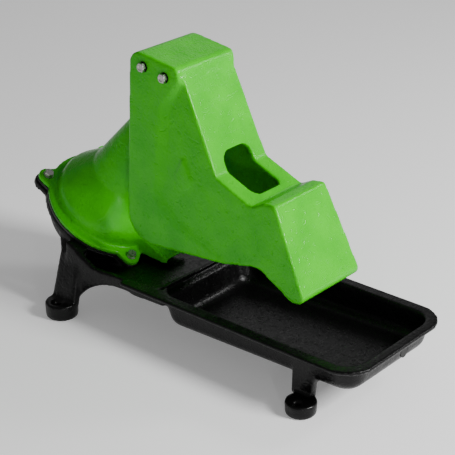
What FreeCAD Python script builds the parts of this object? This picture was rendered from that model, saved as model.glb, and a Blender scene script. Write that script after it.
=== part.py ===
"""Nose-operated pasture pump: trough casting, tilted diaphragm pump and hollow push lever.

Frame: +X points to the front of the trough, +Y to its left, +Z up.  The origin is on the ground,
under the middle of the casting's length and width.  All sizes are in millimetres.
"""
import FreeCAD, Part
import math
import os

# ---- overall sizes -------------------------------------------------------------------------
overall_length = 676.0
rim_height = 90.0            # ground to the top of the trough rim
rim_width = 240.0

# ---- trough ---------------------------------------------------------------------------------
rim_lip_width = 20.0
rim_lip_thickness = 6.0
rim_corner_radius = 50.0
rim_root_radius = 6.0
trough_wall = 6.0
trough_draft = 11.0          # how far the side and front walls lean in from top to bottom
trough_rear_draft = 18.0
basin_ridge_rise = 11.0      # easing where the deck turns down into the basin
basin_ridge_run = 17.0
trough_rear_depth = 57.0
trough_front_depth = 45.0
trough_edge_radius = 22.0
basin_length = 359.0
lip_rear_reach = 66.0        # how far the side lips run on behind the basin
deck_drop_at_basin = 4.0
deck_drop_at_pump = 13.0
deck_root_forward = 60.0     # rear edge of the open deck, forward of the pump's middle
ridge_overlap = 7.0
drain_hole_radius = 5.5
drain_height = 63.0
drain_side = 26.0            # drain hole, to the left of the middle
drain_head_radius = 8.0
drain_head_thickness = 2.0
drain_stem_length = 16.0
drain_seat_gap = 1.0         # between the plug's head and its spot face

# ---- pump axis ------------------------------------------------------------------------------
pump_tilt = 32.0             # lean of the pump axis towards the front, in degrees
pump_height = 146.0          # ground to the middle of the cover flange's top face
flange_radius = 104.5
cover_flange_thickness = 8.0
diaphragm_thickness = 4.0
body_flange_thickness = 12.0
bolt_circle_radius = 110.0
cover_ear_radius = 14.5
body_ear_radius = 17.0
ear_angles = (24.0, 144.0, -144.0, -24.0)
bowl_radius = 92.0
bowl_depth = 58.0            # from the body flange down to the bowl's floor, outside
bowl_wall = 8.0
bowl_turn_drop = 24.0        # from the body flange down to where the bowl's side meets its floor slope
bowl_turn_rounding = 34.0
bowl_floor_margin = 30.0     # flat of the bowl's floor, around the suction boss
bowl_floor_rounding = 20.0
joint_lip_clearance = 1.5    # around the cover, where it drops into the casting
spot_face_margin = 2.5
port_boss_radius = 27.0
port_boss_length = 24.0
port_thread_radius = 15.15   # 1-inch pipe thread, minor diameter 30.3
port_thread_length = 18.0

# ---- cover ----------------------------------------------------------------------------------
dome_radius = 92.0
dome_turn_height = 23.8      # where the dome's straight side meets its cone, before rounding
dome_turn_rounding = 30.0
dome_height = 73.0           # crease between the dome and the neck
neck_base_radius = 57.4
neck_top_radius = 34.0
neck_top_height = 182.0
cover_wall = 6.0
shoulder_height = 96.0       # underside of the ring that the return spring pushes on
shoulder_thickness = 6.0
shoulder_hole_radius = 21.0
spout_width = 50.0
spout_reach = 141.0          # from the pump's middle forward to the spout's front edge, along X
spout_wall = 5.0
spout_root_forward = 62.0
spout_roof_at_tip = 7.0      # above the rim
spout_roof_at_root = 34.0
spout_corner_radius = 8.0
spout_clearance = 1.5        # under the hood's sides, above the highest part of the deck
arm_plate_thickness = 10.0
arm_gap = 30.0               # clear width between the two arm plates
arm_root_width = 46.0
arm_root_drop = 14.0         # below the neck's top
arm_web_thickness = 8.0
arm_web_drop = 26.0          # top of the front wall, below the pivot
cover_clears_ahead = 2.0

# ---- lever ----------------------------------------------------------------------------------
pivot_from_pump = 182.6      # pivot axis, forward of the pump's middle
pivot_above_pump = 268.2
pin_arm_back = 41.3          # rod pin, behind the pivot axis
pin_arm_up = 7.5
# corners of the lever's side outline: forward of and above the pivot axis
crown_rear = (-68.3, 30.5)
crown_front = (22.4, 17.8)
slope_bend = (92.9, -131.2)
ridge_front = (159.4, -158.2)
nose_root = (182.4, -146.7)
nose_brow = (202.0, -144.8)
nose_tip = (265.8, -275.9)
nose_toe = (241.5, -281.0)
chin = (174.2, -247.2)
belly = (114.4, -262.7)
heel = (-86.4, -282.2)
crown_radius = 20.0
heel_radius = 46.0
lever_wall = 6.0
cheek_half_width = 62.5
panel_top_half_width = 54.8  # side panels at the pivot's height
panel_low_half_width = 58.0  # and at the nose's top edge
nose_half_width = 68.0       # the nose spreads to this at its lower edge
window_half_width = 29.0
window_corner_radius = 12.0
window_slope_reach = 30.0    # how far the window runs up the slope from its bend
window_ridge_reach = 51.6    # and forward of the bend, along the ridge
rear_strip_front = -29.0     # front edge of the cheek's rear strip, from the pivot axis
lower_strip_top = -229.5     # upper edge of the cheek's lower strip, from the pivot axis
cheek_fillet_run = 24.0
nose_spread_down = 0.0050    # share of the nose's spread gained per millimetre down
nose_spread_forward = 0.0041
lever_boss_radius = 13.0
pad_height = 6.0
drop_radius = 15.0           # plain raised drop on each side
drop_height = 2.2
drop_from_pivot = (30.0, -150.0)

# ---- feet -----------------------------------------------------------------------------------
front_foot_back = 92.0       # middle of a front foot, behind the rim's front edge
front_foot_y = 115.0
front_foot_radius = 23.5
front_foot_height = 21.0
rear_foot_forward = 16.4     # middle of a rear foot, forward of the pump's middle
rear_foot_y = 134.0
rear_foot_radius = 26.5
rear_foot_height = 26.0
anchor_hole_radius = 5.5
anchor_offset = 9.0          # anchor hole, outside the middle of its foot
anchor_seat_radius = 11.0
anchor_seat_depth = 2.0
# leg sections: back and front from the foot's middle, outer and inner face in from its outer line
rear_ankle = (-26.0, 25.0, 1.0, 16.0)
rear_knee = (-22.0, 20.0, 22.0, 38.0)
rear_hip = (-46.0, 24.0, 38.0, 62.0)
rear_root = (-84.0, -10.0, 52.0, 78.0)
rear_knee_height = 98.0
rear_hip_height = 134.0
rear_root_height = 168.0
front_ankle = (-31.0, 6.0, 14.0, 29.0)
front_root = (-25.0, 14.0, 10.0, 28.0)
leg_corner_radius = 4.0
leg_sinks_into_foot = 6.0
toe_web_thickness = 9.0
toe_web_reach = 46.0         # inner end of the gusset, from the middle of the casting
web_thickness = 10.0
web_outer = 16.0             # web's outer face at the rear leg, outside the basin's side
web_back = 4.0
web_front = 12.0
web_arch_forward = 106.0     # top of the web's arch, forward of the rear foot
web_arch_radius = 115.0
web_arch_top = 71.5

# ---- fasteners (M8) -------------------------------------------------------------------------
bolt_radius = 4.0
bolt_clearance = 0.5
hex_across_flats = 13.0
hex_head_height = 5.5
nut_height = 6.5
washer_radius = 8.0
washer_thickness = 1.6

# ---- working parts --------------------------------------------------------------------------
distance_tube_radius = 6.0
tube_wall_clearance = 0.2
running_clearance = 0.06
open_pivot_clearance = 0.35
side_clearance = 0.5
body_gap = 0.4
spacer_radius = 9.0
arm_eye_radius = 12.0
rod_eye_radius = 10.5
rod_eye_width = 18.0
rod_radius = 6.0
clevis_pin_height = 9.0
clevis_pin_radius = 5.0
clevis_eye_radius = 9.5
clevis_cheek_thickness = 5.0
plunger_level = -22.0        # top of the diaphragm's middle, at rest
plate_radius = 48.0
plate_thickness = 3.0
hub_radius = 25.0
hub_lip_radius = 29.0
hub_lip_thickness = 3.0
valve_ring_radius = 45.0
valve_ring_thickness = 3.0
delivery_valve_lift = 4.0
flow_hole_radius = 4.0
flow_hole_circle = 36.0
flow_hole_count = 8
plunger_bolt_radius = 5.0
plunger_head_radius = 9.0
plunger_head_height = 6.5
convolution_depth = 9.0
diaphragm_inner_clamp = 79.0
spring_coil_radius = 19.5
spring_wire_radius = 1.8
spring_turns = 8.0
spring_wire_sides = 12
spring_seat_thickness = 2.0
inlet_seat_radius = 36.0
inlet_seat_thickness = 6.0
inlet_disc_radius = 30.0
inlet_disc_thickness = 4.0
inlet_valve_lift = 5.0
inlet_stem_radius = 4.0
inlet_hole_radius = 4.5
inlet_hole_circle = 20.0
inlet_hole_count = 6
inlet_guard_radius = 16.0
inlet_guard_thickness = 3.0

# ---- places worked out from the sizes above ---------------------------------------------------
tilt = math.radians(pump_tilt)
front_x = overall_length / 2
body_flange_bottom = cover_flange_thickness + diaphragm_thickness + body_flange_thickness
ear_back = body_ear_radius - bolt_circle_radius * math.cos(math.radians(max(ear_angles)))
flange_back = max(flange_radius, ear_back)
pump_x = -front_x + flange_back * math.cos(tilt) + body_flange_bottom * math.sin(tilt)
pivot_x = pump_x + pivot_from_pump
pivot_z = pump_height + pivot_above_pump
pin_x = pivot_x - pin_arm_back
pin_z = pivot_z + pin_arm_up
front_foot_x = front_x - front_foot_back
rear_foot_x = pump_x + rear_foot_forward
rim_half = rim_width / 2
basin_half = rim_half - rim_lip_width
basin_front_x = front_x - rim_lip_width + 2.0
basin_rear_x = basin_front_x - basin_length
lip_rear_x = basin_rear_x - lip_rear_reach
pad_face = cheek_half_width - lever_wall - pad_height
drain_wall_lean = trough_draft * (rim_height - drain_height) / trough_rear_depth
drain_seat_x = basin_front_x + trough_wall - drain_wall_lean - drain_head_thickness
pump_placement = FreeCAD.Placement(
    FreeCAD.Vector(pump_x, 0, pump_height),
    FreeCAD.Rotation(FreeCAD.Vector(0, 1, 0), pump_tilt))
up = FreeCAD.Vector(0, 0, 1)
along_x = FreeCAD.Vector(1, 0, 0)
along_y = FreeCAD.Vector(0, 1, 0)


# ---- helpers ----------------------------------------------------------------------------------
def vec(x, y, z):
    return FreeCAD.Vector(x, y, z)


def outline(corners, place):
    """Closed wire through (u, v, radius) corners; place turns u, v into a point."""
    count = len(corners)
    edges = []
    joins = []
    for index in range(count):
        before = corners[index - 1]
        here = corners[index]
        after = corners[(index + 1) % count]
        to_before = (before[0] - here[0], before[1] - here[1])
        to_after = (after[0] - here[0], after[1] - here[1])
        len_before = math.hypot(*to_before)
        len_after = math.hypot(*to_after)
        unit_before = (to_before[0] / len_before, to_before[1] / len_before)
        unit_after = (to_after[0] / len_after, to_after[1] / len_after)
        cosine = unit_before[0] * unit_after[0] + unit_before[1] * unit_after[1]
        half = math.acos(max(-1.0, min(1.0, cosine))) / 2
        radius = here[2]
        if radius < 0.05:
            joins.append((here[:2], None, here[:2]))
            continue
        back = radius / math.tan(half)
        start = (here[0] + unit_before[0] * back, here[1] + unit_before[1] * back)
        end = (here[0] + unit_after[0] * back, here[1] + unit_after[1] * back)
        bisector = (unit_before[0] + unit_after[0], unit_before[1] + unit_after[1])
        length = math.hypot(*bisector)
        reach = radius / math.sin(half) - radius
        middle = (here[0] + bisector[0] / length * reach, here[1] + bisector[1] / length * reach)
        joins.append((start, middle, end))
    for index in range(count):
        start, middle, end = joins[index]
        if middle is not None:
            edges.append(Part.Arc(place(*start), place(*middle), place(*end)).toShape())
        following = joins[(index + 1) % count][0]
        if math.hypot(following[0] - end[0], following[1] - end[1]) > 0.01:
            edges.append(Part.LineSegment(place(*end), place(*following)).toShape())
    return Part.Wire(edges)


def side_prism(corners, y_low, y_high):
    """Solid from an outline in the XZ plane, run along Y."""
    wire = outline(corners, lambda x, z: vec(x, y_low, z))
    return Part.Face(wire).extrude(vec(0, y_high - y_low, 0))


def flat_prism(corners, z_low, z_high):
    """Solid from an outline in the XY plane, run along Z."""
    wire = outline(corners, lambda x, y: vec(x, y, z_low))
    return Part.Face(wire).extrude(vec(0, 0, z_high - z_low))


def rectangle(x_low, x_high, half_width, radius):
    """Corners of a rectangle that is symmetric about Y = 0."""
    return [(x_low, -half_width, radius), (x_high, -half_width, radius),
            (x_high, half_width, radius), (x_low, half_width, radius)]


def rod_along_y(radius, x, z, y_low, y_high):
    return Part.makeCylinder(radius, y_high - y_low, vec(x, y_low, z), along_y)


def turned(profile):
    """Solid of revolution about Z from closed (radius, height) corners, each with any rounding."""
    corners = [(corner + (0,))[:3] for corner in profile]
    face = Part.Face(outline(corners, lambda radius, height: vec(radius, 0, height)))
    return face.revolve(vec(0, 0, 0), up, 360)


def disc(radius, low, high):
    return Part.makeCylinder(radius, high - low, vec(0, 0, low))


def ring(outer, inner, low, high):
    return disc(outer, low, high).cut(disc(inner, low - 1, high + 1))


def in_pump(shape):
    """Moves a shape that is built about Z onto the pump's tilted axis."""
    moved = shape.copy()
    moved.Placement = pump_placement.multiply(moved.Placement)
    return moved


def hexagon(across_flats, low, high, turn=0.0):
    radius = across_flats / math.sqrt(3)
    corners = [(radius * math.cos(math.radians(60 * step + turn)),
                radius * math.sin(math.radians(60 * step + turn)), 0) for step in range(6)]
    return flat_prism(corners, low, high)


def mirrored(shape):
    return shape.mirror(vec(0, 0, 0), along_y)


def both_sides(shape):
    return shape.fuse(mirrored(shape))


def laid_along_y(shape, x, z):
    """Turns a shape built about Z so that its axis lies along +Y through (x, z)."""
    moved = shape.copy()
    moved.Placement = FreeCAD.Placement(vec(x, 0, z), FreeCAD.Rotation(vec(1, 0, 0), -90))
    return moved


def ear_spots(height):
    """Bolt centres on the pump flange, at one height along the pump axis."""
    spots = []
    for angle in ear_angles:
        turn = math.radians(angle)
        spots.append(vec(bolt_circle_radius * math.cos(turn), bolt_circle_radius * math.sin(turn), height))
    return spots


def eared_flange(ear_radius, low, high):
    """Round flange with four bolt ears whose sides run in as tangents."""
    body = disc(flange_radius, low, high)
    lean = math.radians(60)
    tip = bolt_circle_radius + ear_radius * math.cos(lean)
    tip_half = ear_radius * math.sin(lean)
    root = flange_radius - 14.0
    root_half = tip_half + (tip - root) / math.tan(lean)
    wedge = [(root, -root_half, 0), (tip, -tip_half, 0), (tip, tip_half, 0), (root, root_half, 0)]
    for angle, spot in zip(ear_angles, ear_spots(low)):
        plate = flat_prism(wedge, low, high)
        plate.rotate(vec(0, 0, 0), up, angle)
        body = body.fuse(plate)
        body = body.fuse(Part.makeCylinder(ear_radius, high - low, spot))
    for spot in ear_spots(low - 1):
        body = body.cut(Part.makeCylinder(bolt_radius + bolt_clearance, high - low + 2, spot))
    return body


# ---- trough casting -----------------------------------------------------------------------------
def trough_block(inset, top):
    """Drafted tub with rounded lower edges: inset 0 is its outside, the wall is its inside."""
    gap = rim_lip_width - trough_wall + inset
    half = rim_half - gap
    front = basin_front_x + trough_wall - inset
    rear = basin_rear_x - trough_wall + inset
    radius = rim_corner_radius - gap
    low = rim_height - trough_rear_depth + inset
    upper = outline(rectangle(rear, front, half, radius), lambda x, y: vec(x, y, top))
    lower = outline(rectangle(rear + trough_rear_draft, front - trough_draft, half - trough_draft,
                              radius - trough_draft), lambda x, y: vec(x, y, low))
    tub = Part.makeLoft([upper, lower], True, True)
    rise = trough_rear_depth - trough_front_depth
    wedge = side_prism([(rear - 1, low - 1, 0), (front + 1, low - 1, 0), (front + 1, low + rise, 0),
                        (rear - 1, low, 0)], -rim_half, rim_half)
    tub = tub.cut(wedge)
    edges = [edge for edge in tub.Edges
             if max(vertex.Z for vertex in edge.Vertexes) < low + rise + 0.5]
    return tub.makeFillet(trough_edge_radius - inset, edges)


def rim_and_deck():
    lip_low = rim_height - rim_lip_thickness
    lip = flat_prism([(lip_rear_x, -rim_half, rim_root_radius), (front_x, -rim_half, rim_corner_radius),
                      (front_x, rim_half, rim_corner_radius), (lip_rear_x, rim_half, rim_root_radius)],
                     lip_low, rim_height)
    deck_rear_x = pump_x + deck_root_forward
    deck_front = rim_height - deck_drop_at_basin
    deck_rear = rim_height - deck_drop_at_pump
    pocket = side_prism([(deck_rear_x - 1, deck_rear, 0), (basin_rear_x + 1, deck_front, 0),
                         (basin_rear_x + 1, rim_height + 1, 0), (deck_rear_x - 1, rim_height + 1, 0)],
                        -basin_half, basin_half)
    plate = side_prism([(deck_rear_x, deck_rear - trough_wall, 0),
                        (basin_rear_x, deck_front - trough_wall, 0), (basin_rear_x, deck_front, 0),
                        (deck_rear_x, deck_rear, 0)], -basin_half - 3, basin_half + 3)
    ease_rear = basin_rear_x - basin_ridge_run + ridge_overlap
    ease_front = basin_rear_x + ridge_overlap
    ease = side_prism([(ease_rear, deck_front + 1, 0), (ease_front, deck_front + 1, 0),
                       (ease_front, deck_front - basin_ridge_rise, 0), (ease_rear, deck_front, 0)],
                      -basin_half + 5, basin_half - 5)
    return lip.cut(pocket).fuse([plate, apron(deck_rear - trough_wall)]), ease


def web_lane(x_low, x_high, outer_rear, inner_rear):
    """Room in plan between two lines that close in on the trough's side, on the -Y side."""
    narrowing = 12.0
    return flat_prism([(x_low, -outer_rear, 0), (x_high, narrowing - outer_rear, 0),
                       (x_high, narrowing - inner_rear, 0), (x_low, -inner_rear, 0)], 0, pump_height)


def apron(level):
    """Plate that carries the deck on back to the rear legs, closing the room between web and bowl."""
    x_low = rear_foot_x - web_back
    x_high = basin_rear_x + web_front
    half = web_lane(x_low, x_high, basin_half + web_outer - 2, 0)
    plate = half.common(Part.makeBox(x_high - x_low, rim_half, trough_wall, vec(x_low, -rim_half, level)))
    return both_sides(plate)


def bowl_outside():
    """Round bowl under the pump, with the suction boss at its lowest point."""
    top = -cover_flange_thickness - diaphragm_thickness
    under = -body_flange_bottom
    floor = under - bowl_depth
    return turned([(0, top), (bowl_radius, top), (bowl_radius, under - bowl_turn_drop, bowl_turn_rounding),
                   (port_boss_radius + bowl_floor_margin, floor, bowl_floor_rounding),
                   (port_boss_radius, floor, 4), (port_boss_radius, floor - port_boss_length, 2),
                   (0, floor - port_boss_length)])


def bowl_inside():
    """Suction chamber, valve pocket and threaded port."""
    top = -cover_flange_thickness - diaphragm_thickness
    under = -body_flange_bottom
    floor = under - bowl_depth
    chamber = bowl_radius - bowl_wall - 4
    port_top = floor - port_boss_length + port_thread_length
    return turned([(0, top + 1), (chamber, top + 1), (chamber, under - 12),
                   (inlet_seat_radius, floor + bowl_wall), (inlet_seat_radius, floor + 2), (inlet_disc_radius - 8, floor + 2),
                   (inlet_disc_radius - 8, port_top), (port_thread_radius, port_top),
                   (port_thread_radius, floor - port_boss_length - 1), (0, floor - port_boss_length - 1)])


def leg_section(foot_x, foot_y, size, z):
    """One level of a leg on the -Y side."""
    back, front, outer, inner = size
    corners = [(foot_x + back, outer - foot_y), (foot_x + front, outer - foot_y),
               (foot_x + front, inner - foot_y), (foot_x + back, inner - foot_y)]
    return outline([(x, y, leg_corner_radius) for x, y in corners], lambda x, y: vec(x, y, z))


def leg_run(foot_x, foot_y, levels, ruled):
    """Loft through (section, height) levels."""
    return Part.makeLoft([leg_section(foot_x, foot_y, size, z) for size, z in levels], True, ruled)


def rear_leg():
    """Splayed rear leg on the -Y side, flaring up and back to the pump flange's ear."""
    shin = leg_run(rear_foot_x, rear_foot_y, [(rear_ankle, rear_foot_height - leg_sinks_into_foot),
                                              (rear_knee, rear_knee_height + 1)], True)
    flare = leg_run(rear_foot_x, rear_foot_y, [(rear_knee, rear_knee_height), (rear_hip, rear_hip_height),
                                               (rear_root, rear_root_height)], False)
    return shin.fuse(flare)


def front_leg():
    return leg_run(front_foot_x, front_foot_y, [(front_ankle, front_foot_height - leg_sinks_into_foot),
                                                (front_root, rim_height - rim_lip_thickness / 2)], True)


def foot(x, y, radius, height):
    """Round foot with a slight draft, on the -Y side."""
    base = Part.makeCone(radius - 1.0, radius, height, vec(x, -y, 0))
    rim = [edge for edge in base.Edges if edge.Closed and len(edge.Vertexes) == 1]
    return base.makeFillet(2.0, rim)


def anchor_cut(x, y, height):
    """Anchor hole with room for its head, taken out of the foot and the leg above it."""
    hole = Part.makeCylinder(anchor_hole_radius, height + 2, vec(x, -y - anchor_offset, -1))
    seat = Part.makeCylinder(anchor_seat_radius, 12, vec(x, -y - anchor_offset, height - anchor_seat_depth))
    return hole.fuse(seat)


def side_web():
    """Arched web on the -Y side, from the rear leg under the pump to the trough's rear corner."""
    arch_x = rear_foot_x + web_arch_forward
    left_x = rear_foot_x - web_back
    right_x = basin_rear_x + web_front
    low = rear_foot_height - 8
    side = side_prism([(left_x, low, 0), (right_x, low, 0), (right_x, rim_height - 1, 0),
                       (left_x, pump_height - 25, 0)], -rim_half, 0)
    lane = web_lane(left_x, right_x, basin_half + web_outer, basin_half + web_outer - web_thickness)
    arch = rod_along_y(web_arch_radius, arch_x, web_arch_top - web_arch_radius, -rim_half, -basin_half + 20)
    below = Part.makeBox(right_x - arch_x, 40, web_arch_top - 2, vec(arch_x, -rim_half, -2))
    return side.common(lane).cut(arch.fuse(below))


def toe_web():
    """Short gusset between a front leg and the trough floor, on the -Y side."""
    x_low = front_foot_x - leg_sinks_into_foot
    leg_y = front_ankle[2] + 10 - front_foot_y
    toe_z = front_foot_height + leg_sinks_into_foot
    floor_z = rim_height - trough_front_depth
    corners = [vec(x_low, leg_y, toe_z), vec(x_low, leg_y, floor_z + 29),
               vec(x_low, -toe_web_reach, floor_z + 15),
               vec(x_low, -toe_web_reach, floor_z + 5), vec(x_low, -toe_web_reach - 26, floor_z - 1)]
    wire = Part.makePolygon(corners + [corners[0]])
    return Part.Face(wire).extrude(vec(toe_web_thickness, 0, 0))


def trough_casting():
    joint_level = -cover_flange_thickness - diaphragm_thickness
    rim, ease = rim_and_deck()
    body = trough_block(0.0, rim_height - 1.0).fuse(rim)
    body = body.fuse(in_pump(bowl_outside()))
    raised = in_pump(disc(overall_length, joint_level, overall_length))
    over_rim = raised.cut(Part.makeBox(2 * overall_length, overall_length, rim_height,
                                       vec(-overall_length, -overall_length / 2, 0)))
    limbs = rear_leg().cut(raised)
    limbs = limbs.fuse([front_leg(), side_web().cut(over_rim), toe_web(),
                        foot(rear_foot_x, rear_foot_y, rear_foot_radius, rear_foot_height),
                        foot(front_foot_x, front_foot_y, front_foot_radius, front_foot_height)])
    limbs = limbs.cut(anchor_cut(rear_foot_x, rear_foot_y, rear_foot_height))
    limbs = limbs.cut(anchor_cut(front_foot_x, front_foot_y, front_foot_height))
    body = body.fuse([limbs, mirrored(limbs)])
    body = body.cut(in_pump(disc(flange_radius + joint_lip_clearance, joint_level, dome_height)))
    body = body.fuse(in_pump(eared_flange(body_ear_radius, -body_flange_bottom, joint_level)))
    for spot in ear_spots(-body_flange_bottom):
        bore = Part.makeCylinder(bolt_radius + bolt_clearance, 60, spot + vec(0, 0, -20))
        seat = Part.makeCylinder(washer_radius + spot_face_margin, 40, spot + vec(0, 0, -40))
        body = body.cut(in_pump(bore.fuse(seat)))
    body = body.cut(in_pump(eared_flange(cover_ear_radius + joint_lip_clearance, joint_level, dome_height)))
    body = body.cut(in_pump(bowl_inside()))
    body = body.cut(trough_block(trough_wall, rim_height + 1.0)).cut(ease)
    drain_stem_x = drain_seat_x - drain_stem_length
    drain = Part.makeCylinder(drain_hole_radius, drain_stem_length + 1, vec(drain_stem_x, drain_side, drain_height),
                              along_x)
    seat = Part.makeCylinder(drain_head_radius + drain_seat_gap, 20, vec(drain_seat_x, drain_side, drain_height),
                             along_x)
    return body.cut(drain.fuse(seat.common(Part.makeBox(20, rim_width, rim_height - rim_lip_thickness,
                                                        vec(drain_seat_x, -rim_half, 0)))))


# ---- pump cover ---------------------------------------------------------------------------------
def neck_radius(height):
    """Outside radius of the tapered neck at a height above the flange's top face."""
    share = (height - dome_height) / (neck_top_height - dome_height)
    return neck_base_radius + (neck_top_radius - neck_base_radius) * share


def cover_outside():
    return turned([(0, -cover_flange_thickness), (dome_radius, -cover_flange_thickness),
                   (dome_radius, dome_turn_height, dome_turn_rounding), (neck_base_radius, dome_height),
                   (neck_top_radius, neck_top_height), (0, neck_top_height)])


def cover_inside():
    inner_dome = dome_radius - cover_wall
    low = -cover_flange_thickness - 1
    ledge_top = shoulder_height + shoulder_thickness
    return turned([(0, low), (inner_dome, low),
                   (inner_dome, dome_turn_height - 2, dome_turn_rounding - cover_wall),
                   (neck_base_radius - cover_wall, dome_height - 4),
                   (neck_radius(shoulder_height) - cover_wall, shoulder_height),
                   (shoulder_hole_radius, shoulder_height), (shoulder_hole_radius, ledge_top),
                   (neck_radius(ledge_top) - cover_wall, ledge_top),
                   (neck_top_radius - cover_wall, neck_top_height + 1), (0, neck_top_height + 1)])


def spout(inset):
    """Tongue-shaped hood over the outlet; inset 0 is its outside."""
    tip_x = pump_x + spout_reach
    half = spout_width / 2 - inset
    deck_z = rim_height - deck_drop_at_pump
    root_x = pump_x + spout_root_forward
    reach = spout_corner_radius if inset else 0.0
    rounding = 0 if inset else spout_corner_radius
    tongue = flat_prism([(root_x, -half + 6, 0), (tip_x + reach, -half, rounding),
                         (tip_x + reach, half, rounding), (root_x, half - 6, 0)], deck_z - 10, deck_z + 60)
    roof_tip = rim_height + spout_roof_at_tip - inset
    roof_root = rim_height + spout_roof_at_root - inset
    low = rim_height - deck_drop_at_basin + spout_clearance
    if inset:
        low = deck_z - 12
    side = side_prism([(root_x - 1, low, 0), (tip_x + 10, low, 0),
                       (tip_x + 10, roof_tip - 3, 0), (tip_x, roof_tip, 0), (root_x - 1, roof_root, 0)],
                      -spout_width, spout_width)
    return tongue.common(side)


def pivot_in_pump():
    """The pivot axis in pump coordinates: across and along the pump's axis."""
    across = pivot_from_pump * math.cos(tilt) - pivot_above_pump * math.sin(tilt)
    along = pivot_from_pump * math.sin(tilt) + pivot_above_pump * math.cos(tilt)
    return across, along


def pump_arm():
    """Fork above the neck: two plates joined by a front wall, open behind for the connecting rod."""
    inner = arm_gap / 2
    outer = inner + arm_plate_thickness
    root = neck_top_height - arm_root_drop
    root_back = -arm_root_width / 2 + 6
    root_front = arm_root_width / 2 + 2
    eye = arm_eye_radius
    across, along = pivot_in_pump()
    plate = side_prism([(root_back, root, 0), (root_front, root, 0), (across + eye, along - eye / 2, 0),
                        (across + eye, along + eye, eye), (across - eye, along + eye, eye),
                        (across - eye, along - eye / 2, 0)], inner, outer)
    wall = side_prism([(root_front - arm_web_thickness, root, 0), (root_front, root, 0),
                       (across + eye, along - arm_web_drop, 0),
                       (across + eye - arm_web_thickness, along - arm_web_drop, 0)], -inner - 1, inner + 1)
    return both_sides(plate).fuse(wall)


def pump_cover():
    body = cover_outside().fuse(pump_arm())
    body = body.fuse(eared_flange(cover_ear_radius, -cover_flange_thickness, 0))
    body = in_pump(body).fuse(spout(0.0))
    body = body.cut(in_pump(cover_inside()))
    body = body.cut(spout(spout_wall))
    below = in_pump(disc(overall_length, -overall_length, -cover_flange_thickness))
    flange_front = pump_x + bolt_circle_radius + cover_clears_ahead
    behind = Part.makeBox(flange_front + overall_length, 2 * rim_width, 2 * rim_width,
                          vec(-overall_length, -rim_width, 0))
    body = body.cut(below.common(behind))
    arm_outer = arm_gap / 2 + arm_plate_thickness
    bore_radius = distance_tube_radius + running_clearance
    bore = rod_along_y(bore_radius, pivot_x, pivot_z, -arm_outer - 1, arm_outer + 1)
    return body.cut(bore)


# ---- lever --------------------------------------------------------------------------------------
def corner(point, radius, forward=0.0, upward=0.0):
    """A rounded outline corner, moved from a named point."""
    return point[0] + forward, point[1] + upward, radius


def lever_points():
    """Side outline of the lever: x and z from the pivot axis, and the corner radius."""
    return [corner(crown_rear, crown_radius), corner(crown_front, 11), corner(slope_bend, 12),
            corner(ridge_front, 10), corner(nose_root, 7), corner(nose_brow, 5), corner(nose_tip, 10),
            corner(nose_toe, 17), corner(chin, 34), corner(belly, 14), corner(heel, heel_radius)]


def lever_inner_points():
    """Inside of the lever, open below and behind."""
    wall = lever_wall
    behind = heel[0] - heel_radius
    below = heel[1] - heel_radius
    return [(behind, crown_rear[1] + 6 - wall, 0), corner(crown_rear, 0, 0, -wall),
            corner(crown_front, 8, -wall - 3, -wall - 1), corner(slope_bend, 8, -wall - 2, 2 - wall),
            corner(ridge_front, 6, 0, -wall - 2), corner(nose_root, 4, -3, -wall),
            corner(nose_brow, 4, -wall, -wall - 2), corner(nose_tip, 0, -wall - 4, 2),
            (nose_tip[0] - wall, below, 0), (behind, below, 0)]


def lever_rear_points():
    """Inside of the rear and lower strips, where the lever is widest."""
    wall = lever_wall
    behind = heel[0] - heel_radius
    below = heel[1] - heel_radius
    return [(behind, crown_rear[1] - wall, 0), corner(crown_rear, 0, 8, -wall - 2),
            (-12, crown_front[1] - 2, 12), (rear_strip_front - 5, -60, 30), (rear_strip_front - 11, -205, 10),
            (-10, lower_strip_top - 14, 8), (0, below, 0), (behind, below, 0)]


def cheek_top_points():
    """Flat of the wider part of the lever's side: top, rear strip and lower strip."""
    return [corner(crown_rear, crown_radius), corner(crown_front, 8), corner(crown_front, 0, 3.4, -16),
            (-12, -45, 40), (rear_strip_front, -200, 20), (-2, lower_strip_top, 20),
            (70, lower_strip_top - 21, 60), corner(belly, 0, -7.6, -1.5), corner(heel, heel_radius)]


def cheek_foot_points():
    """Where the wider part's broad fillet runs out on the side panel."""
    run = cheek_fillet_run
    return [corner(crown_rear, crown_radius), corner(crown_front, 8, 2), corner(crown_front, 0, 7.4, -21),
            (1, -48, 40), (rear_strip_front + run - 1, -188, 14), (30, lower_strip_top + run, 30),
            (100, lower_strip_top, 60), corner(belly, 0, run - 2, 10), corner(heel, heel_radius)]


def at_pivot(points):
    return [(pivot_x + x, pivot_z + z, radius) for x, z, radius in points]


def half_width_slab(inset, width_at):
    """Body between two mirrored planes; width_at gives the half-width at x and z from the pivot axis."""
    x_low = heel[0] - heel_radius - 20
    x_high = nose_tip[0] + 30
    z_low = heel[1] - heel_radius - 10
    z_high = crown_rear[1] + 30
    ring_points = [(x_low, z_low), (x_high, z_low), (x_high, z_high), (x_low, z_high)]
    near = [vec(pivot_x + x, inset - width_at(x, z), pivot_z + z) for x, z in ring_points]
    far = [vec(pivot_x + x, width_at(x, z) - inset, pivot_z + z) for x, z in ring_points]
    faces = [Part.Face(Part.makePolygon(near + [near[0]])), Part.Face(Part.makePolygon(far + [far[0]]))]
    for index in range(4):
        after = (index + 1) % 4
        edge_points = [near[index], near[after], far[after], far[index], near[index]]
        faces.append(Part.Face(Part.makePolygon(edge_points)))
    return Part.Solid(Part.Shell(faces))


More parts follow.
